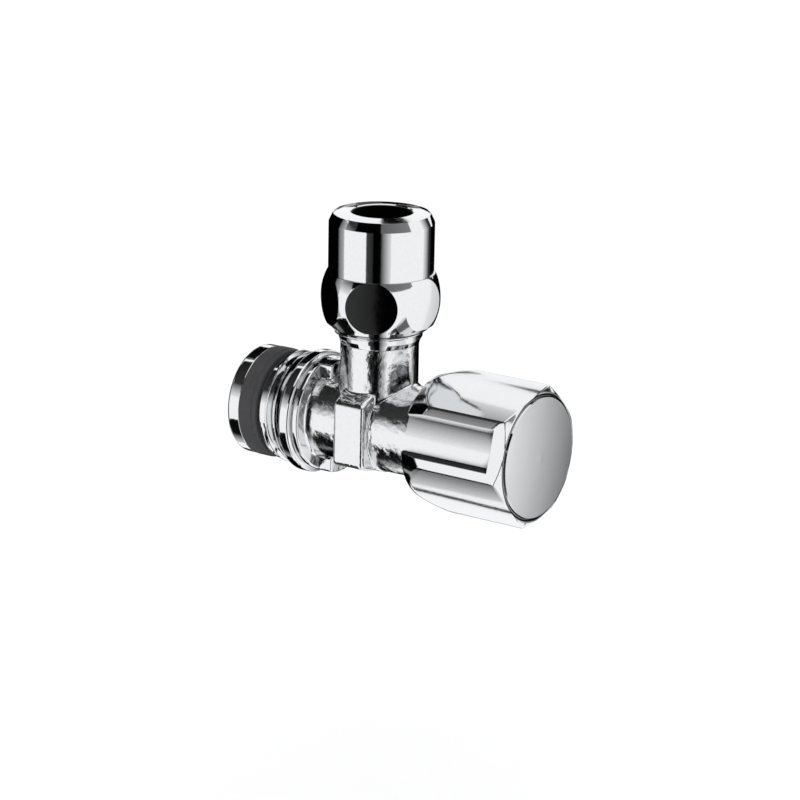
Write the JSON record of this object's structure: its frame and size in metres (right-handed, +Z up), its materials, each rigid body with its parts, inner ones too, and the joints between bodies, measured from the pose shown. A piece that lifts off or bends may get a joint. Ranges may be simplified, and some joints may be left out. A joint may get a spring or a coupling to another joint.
{
  "type": "angle stop valve",
  "caption": "Chrome angle stop valve: self-sealing threaded inlet, compression outlet upward for a pipe, and a grip knob that turns a spindle to lift the plunger off its seat.",
  "frame": {"origin": "on the inlet axis, at the wall side of the flange", "axes": "+X out of the wall along the valve axis to the knob, +Z up along the outlet pipe"},
  "size_m": [0.0622, 0.0259, 0.0527],
  "materials": {
    "cast_chrome": "nickel-chrome plate over a sand-blasted brass casting",
    "turned_chrome": "nickel-chrome plate over turned and polished brass",
    "plated_plastic": "nickel-chrome plate over moulded ABS",
    "seal_band": "matte dark grey sealing plastic",
    "black_rubber": "matte moulded EPDM",
    "brass": "machined brass",
    "steel": "zinc-plated and stainless steel",
    "white_plastic": "moulded acetal"
  },
  "bodies": {
    "root": {"valve_body": "cast_chrome", "inlet_seal_ring": "seal_band", "bonnet": "brass", "bonnet_oring": "black_rubber"},
    "knob": {"spindle": "brass", "lower_spindle_oring": "black_rubber", "upper_spindle_oring": "black_rubber", "slide_washer": "white_plastic", "retaining_ring": "steel", "knob_shell": "plated_plastic", "knob_insert": "white_plastic", "knob_screw": "steel", "knob_lock_washer": "steel", "knob_cap": "plated_plastic"},
    "plunger": {"plunger": "brass", "plunger_oring": "black_rubber", "seat_washer": "black_rubber", "seat_screw": "brass"},
    "nut_rings": {"clamp_ring": "brass", "slip_washer": "steel"},
    "nut": {"compression_nut": "turned_chrome"}
  },
  "joints": [
    {"name": "knob_turn", "type": "hinge", "parent": "root", "child": "knob", "pos_m": [0.03, 0, 0], "axis": [1, 0, 0], "range_deg": [0, 1080]},
    {"name": "plunger_slide", "type": "slide", "parent": "root", "child": "plunger", "axis": [1, 0, 0], "range_m": [0, 0.003]},
    {"name": "nut_travel", "type": "slide", "parent": "root", "child": "nut_rings", "axis": [0, 0, 1], "range_m": [0, 0.0107]},
    {"name": "nut_turn", "type": "hinge", "parent": "nut_rings", "child": "nut", "pos_m": [0.0145, 0, 0.024], "axis": [0, 0, 1], "range_deg": [0, 2880]}
  ],
  "couplings": [
    {"joint": "plunger_slide", "follows": "knob_turn", "m_per_rad": 0.00015915},
    {"joint": "nut_travel", "follows": "nut_turn", "m_per_rad": 0.00021279}
  ]
}
